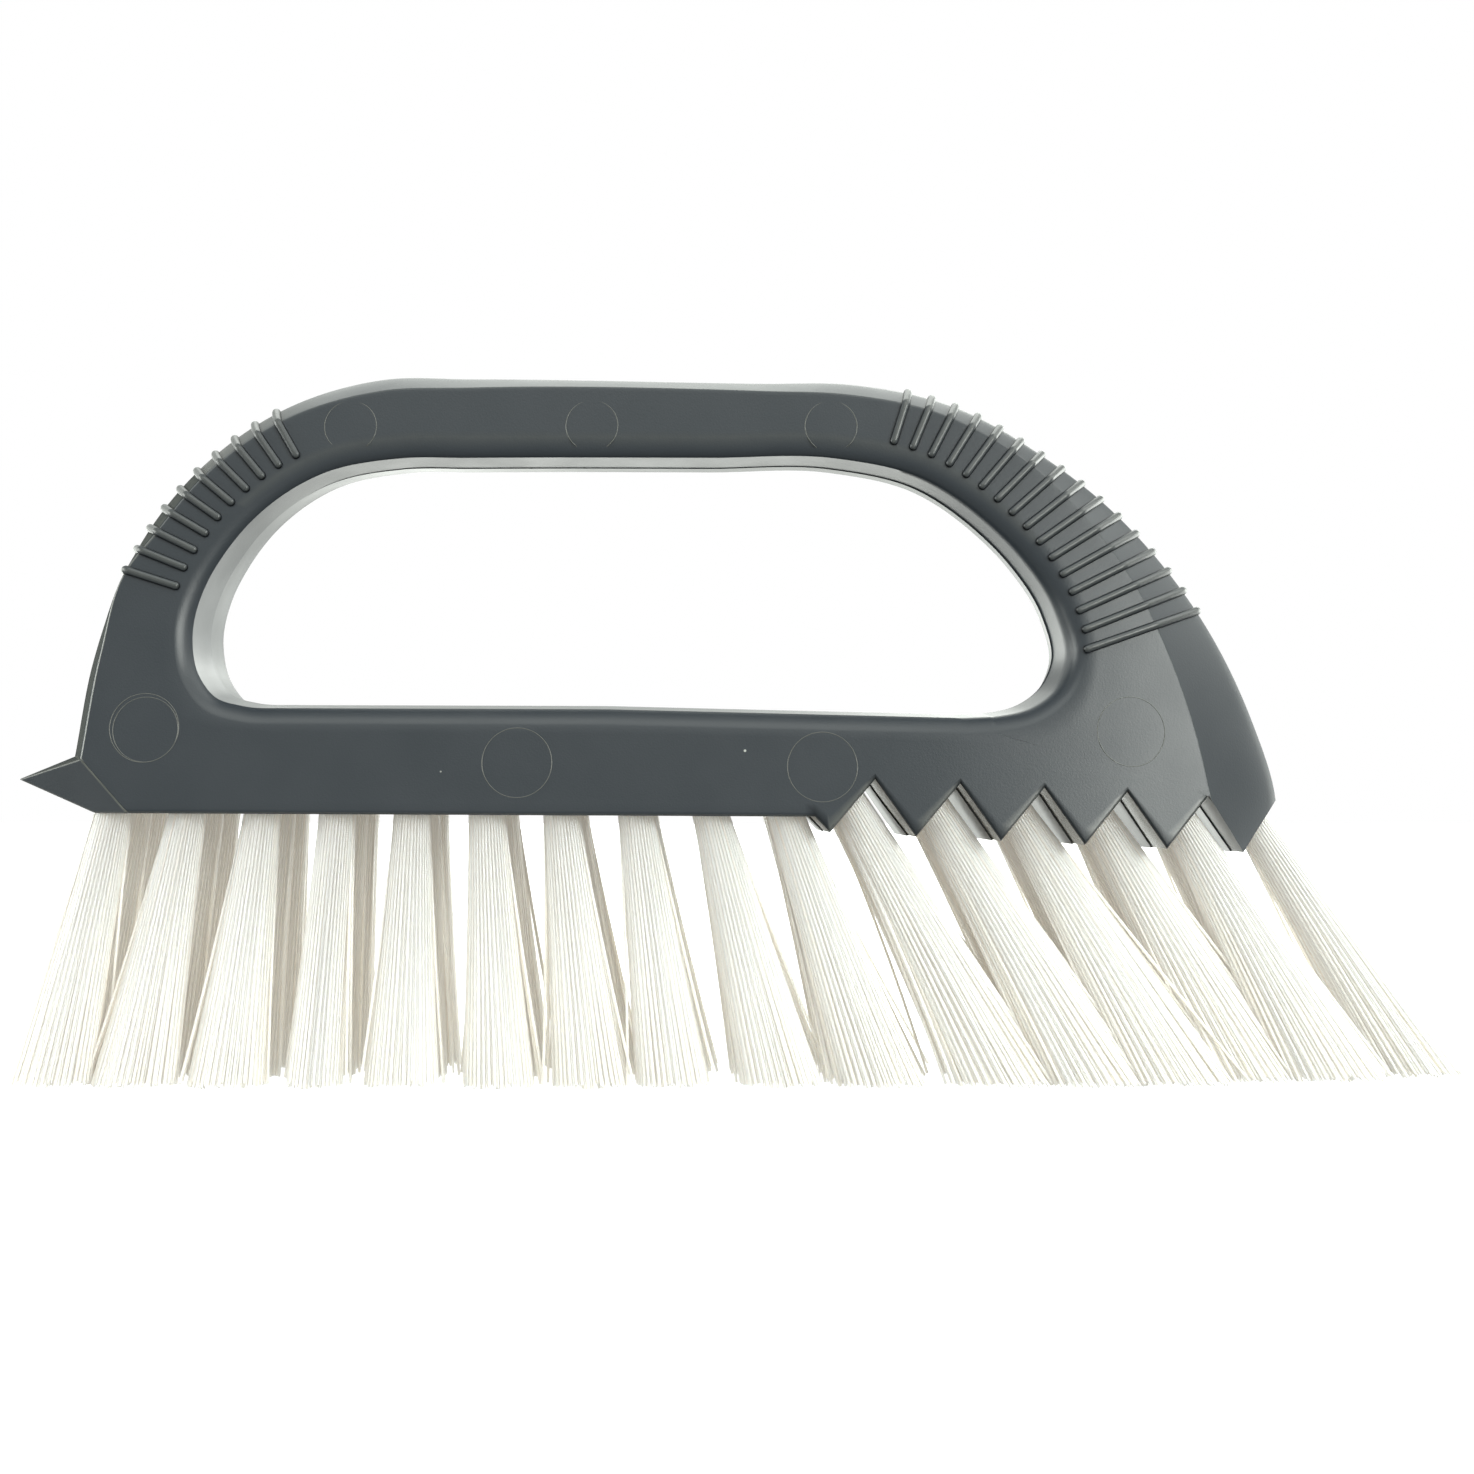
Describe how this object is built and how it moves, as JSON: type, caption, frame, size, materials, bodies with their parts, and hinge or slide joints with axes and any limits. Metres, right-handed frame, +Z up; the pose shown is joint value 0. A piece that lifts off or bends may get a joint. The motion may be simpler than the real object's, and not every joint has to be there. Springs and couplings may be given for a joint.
{
  "type": "hand brush",
  "caption": "Hand brush with a closed-loop handle, grip ribs, a chisel scraper at one end, saw teeth at the other, and rows of splayed bristle tufts.",
  "frame": {"origin": "on the plane of the bristle tips, under the middle of the brush's length and width", "axes": "+X along the brush from the scraper to the nose, +Y across it away from the pictured face, +Z up from the bristle tips to the handle"},
  "size_m": [0.2067, 0.0332, 0.1026],
  "materials": {
    "body": "injection-moulded anthracite grey polypropylene, satin, with lighter edges",
    "bristle": "drawn nylon filament, white and slightly translucent"
  },
  "bodies": {
    "root": {"body": "body", "tuft_front_01": "bristle", "tuft_front_02": "bristle", "tuft_front_03": "bristle", "tuft_front_04": "bristle", "tuft_front_05": "bristle", "tuft_front_06": "bristle", "tuft_front_07": "bristle", "tuft_front_08": "bristle", "tuft_front_09": "bristle", "tuft_front_10": "bristle", "tuft_front_11": "bristle", "tuft_front_12": "bristle", "tuft_front_13": "bristle", "tuft_front_14": "bristle", "tuft_front_15": "bristle", "tuft_middle_01": "bristle", "tuft_middle_02": "bristle", "tuft_middle_03": "bristle", "tuft_middle_04": "bristle", "tuft_middle_05": "bristle", "tuft_middle_06": "bristle", "tuft_middle_07": "bristle", "tuft_middle_08": "bristle", "tuft_middle_09": "bristle", "tuft_middle_10": "bristle", "tuft_middle_11": "bristle", "tuft_middle_12": "bristle", "tuft_middle_13": "bristle", "tuft_back_01": "bristle", "tuft_back_02": "bristle", "tuft_back_03": "bristle", "tuft_back_04": "bristle", "tuft_back_05": "bristle", "tuft_back_06": "bristle", "tuft_back_07": "bristle", "tuft_back_08": "bristle", "tuft_back_09": "bristle", "tuft_back_10": "bristle", "tuft_back_11": "bristle", "tuft_back_12": "bristle", "tuft_back_13": "bristle", "tuft_back_14": "bristle", "tuft_back_15": "bristle", "tuft_nose": "bristle"}
  },
  "joints": []
}
